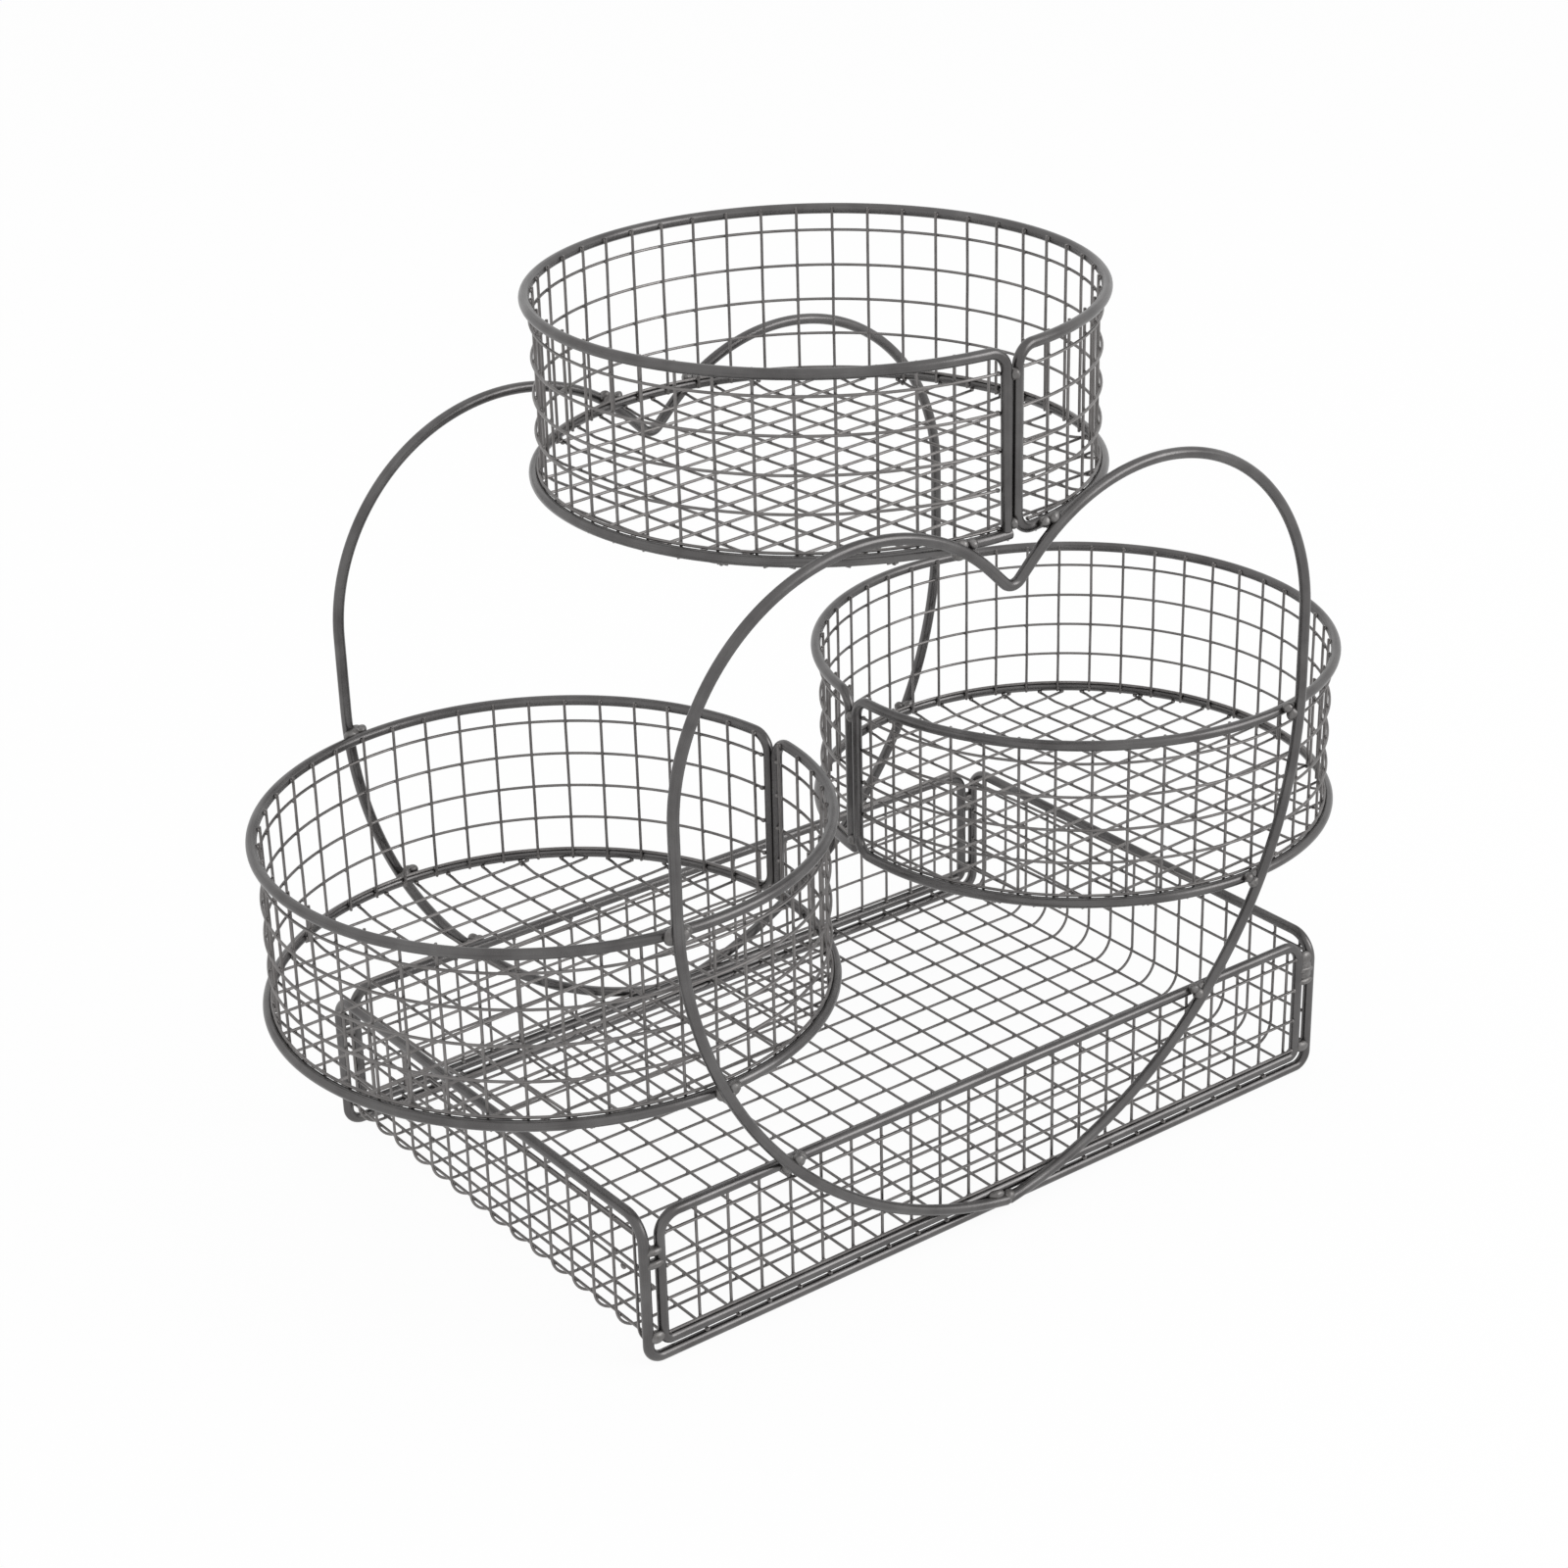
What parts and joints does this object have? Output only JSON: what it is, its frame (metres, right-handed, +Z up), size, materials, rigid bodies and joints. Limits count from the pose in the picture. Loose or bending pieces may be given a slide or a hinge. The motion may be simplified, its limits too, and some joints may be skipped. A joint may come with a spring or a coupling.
{
  "type": "fruit basket rack",
  "caption": "Free-standing wire fruit rack with a low rectangular mesh tray and apple-shaped rod hoops that hold round mesh baskets at the top and at either side.",
  "frame": {"origin": "on the table, under the middle of the rack", "axes": "+X along the tray's long side towards the right-hand basket, -Y towards the front, +Z up"},
  "size_m": [0.575, 0.2714, 0.4163],
  "materials": {
    "bent_rod": "satin gunmetal",
    "mesh_wire": "satin gunmetal",
    "weld_beads": "satin gunmetal over uneven weld"
  },
  "bodies": {
    "root": {"tray_end_frame": "bent_rod", "tray_front_panel_frame": "bent_rod", "tray_back_panel_frame": "bent_rod", "tray_bed_long_wires": "mesh_wire", "tray_bed_cross_wires": "mesh_wire", "tray_front_panel_uprights": "mesh_wire", "tray_front_panel_rows": "mesh_wire", "tray_back_panel_uprights": "mesh_wire", "tray_back_panel_rows": "mesh_wire", "tray_corner_welds": "weld_beads", "front_hoop": "bent_rod", "back_hoop": "bent_rod", "front_hoop_welds": "weld_beads", "back_hoop_welds": "weld_beads", "top_basket_frame": "bent_rod", "top_basket_wall_uprights": "mesh_wire", "top_basket_wall_hoops": "mesh_wire", "top_basket_floor_long_wires": "mesh_wire", "top_basket_floor_cross_wires": "mesh_wire", "top_basket_seam_welds": "weld_beads", "left_basket_frame": "bent_rod", "left_basket_wall_uprights": "mesh_wire", "left_basket_wall_hoops": "mesh_wire", "left_basket_floor_long_wires": "mesh_wire", "left_basket_floor_cross_wires": "mesh_wire", "left_basket_seam_welds": "weld_beads", "right_basket_frame": "bent_rod", "right_basket_wall_uprights": "mesh_wire", "right_basket_wall_hoops": "mesh_wire", "right_basket_floor_long_wires": "mesh_wire", "right_basket_floor_cross_wires": "mesh_wire", "right_basket_seam_welds": "weld_beads"}
  },
  "joints": []
}
